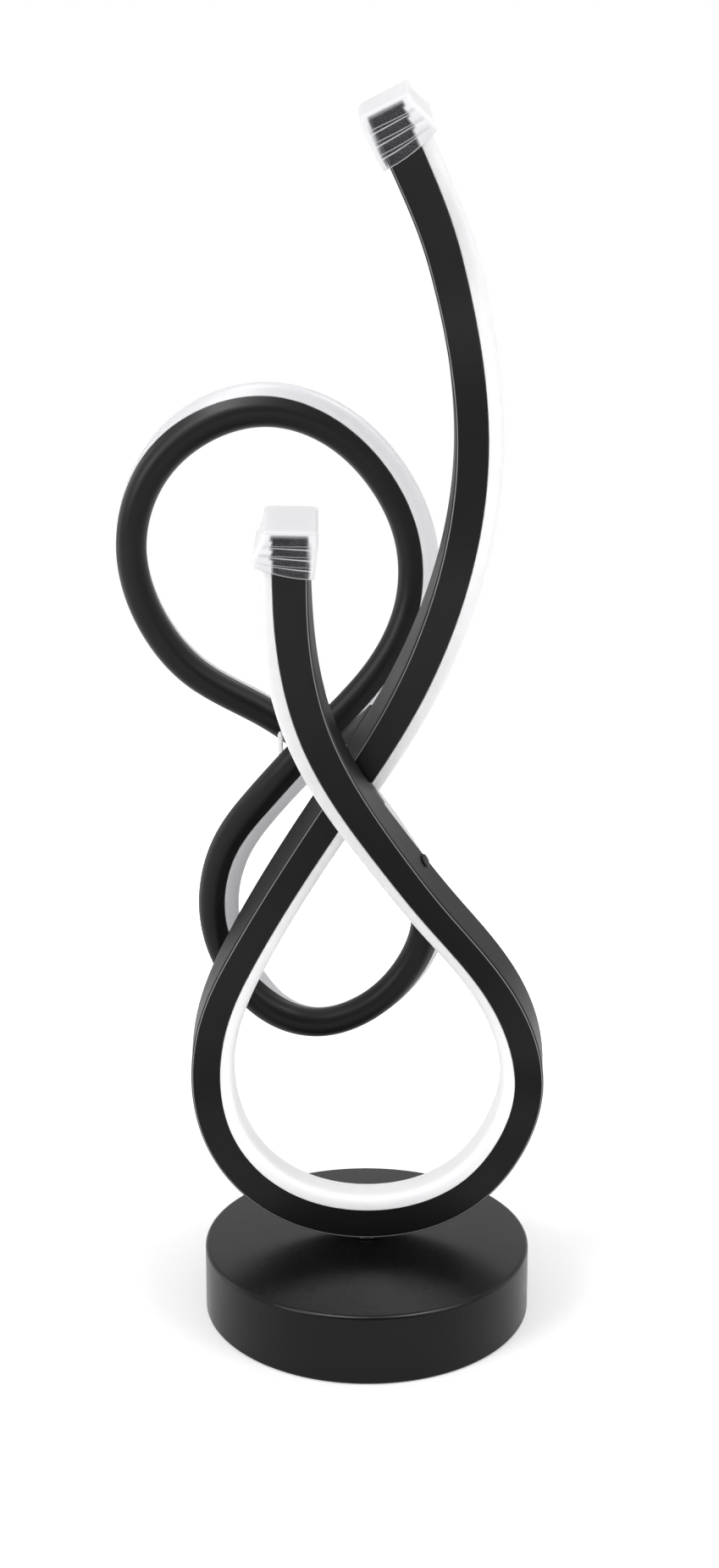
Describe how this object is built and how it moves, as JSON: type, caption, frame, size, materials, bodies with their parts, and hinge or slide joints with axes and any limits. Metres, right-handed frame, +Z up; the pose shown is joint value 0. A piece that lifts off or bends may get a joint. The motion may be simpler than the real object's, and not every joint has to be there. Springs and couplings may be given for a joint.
{
  "type": "sculptural table lamp",
  "caption": "Sculptural table lamp: black bent channel ribbons with milky domed light covers and clear end caps, standing on a round weighted base.",
  "frame": {"origin": "centre of the foot pad's underside, on the surface that the lamp stands on", "axes": "+Z up, -Y towards the viewer that the picture takes, +X to that viewer's right; the power socket is at +Y"},
  "size_m": [0.1615, 0.1476, 0.4097],
  "materials": {
    "black_satin_paint": "satin black powder coat",
    "milky_silicone": "translucent milky, satin",
    "clear_silicone": "clear, slightly frosted",
    "cast_iron": "rough cast",
    "zinc_plated_steel": "zinc plated",
    "black_oxide_steel": "black oxide",
    "black_foam": "matte foam",
    "board_laminate": "green solder mask",
    "white_strip_laminate": "white solder mask",
    "copper_winding": "enamelled copper",
    "dark_sleeve": "plastic sleeve",
    "terminal_plastic": "moulded",
    "red_insulation": "smooth",
    "black_insulation": "smooth",
    "black_moulding": "moulded"
  },
  "bodies": {
    "root": {"base_shell": "black_satin_paint", "foot_pad": "black_foam", "bottom_plate": "zinc_plated_steel", "ballast_ring": "cast_iron", "ballast_bolt_left": "zinc_plated_steel", "ballast_bolt_right": "zinc_plated_steel", "mounting_bar": "zinc_plated_steel", "plate_screw_1": "zinc_plated_steel", "plate_screw_2": "zinc_plated_steel", "plate_screw_3": "zinc_plated_steel", "plate_screw_4": "zinc_plated_steel", "stem_tube": "zinc_plated_steel", "stem_spacer": "zinc_plated_steel", "stem_nut_upper": "zinc_plated_steel", "stem_nut_lower": "zinc_plated_steel", "stem_lock_washer": "zinc_plated_steel", "power_socket": "black_moulding", "socket_nut": "zinc_plated_steel", "driver_board": "board_laminate", "board_post_left": "zinc_plated_steel", "board_post_right": "zinc_plated_steel", "board_screw_left": "black_oxide_steel", "board_screw_right": "black_oxide_steel", "driver_inductor": "copper_winding", "driver_capacitor": "dark_sleeve", "driver_chip": "black_moulding", "driver_terminal": "terminal_plastic", "supply_lead_positive": "red_insulation", "supply_lead_negative": "black_insulation", "feed_lead_a": "red_insulation", "feed_lead_b": "black_insulation", "front_channel": "black_satin_paint", "front_strip_a": "white_strip_laminate", "front_strip_b": "white_strip_laminate", "front_cover": "milky_silicone", "rear_channel": "black_satin_paint", "rear_strip": "white_strip_laminate", "rear_cover": "milky_silicone", "end_cap_a": "clear_silicone", "end_cap_b": "clear_silicone", "joining_bracket": "black_satin_paint", "bracket_screw_1": "black_oxide_steel", "bracket_screw_2": "black_oxide_steel", "bracket_screw_3": "black_oxide_steel", "bracket_screw_4": "black_oxide_steel", "crossing_plate": "black_satin_paint", "crossing_screw": "black_oxide_steel", "crossing_post": "milky_silicone", "clamp_screw": "black_oxide_steel", "bridge_lead": "black_insulation"}
  },
  "joints": []
}
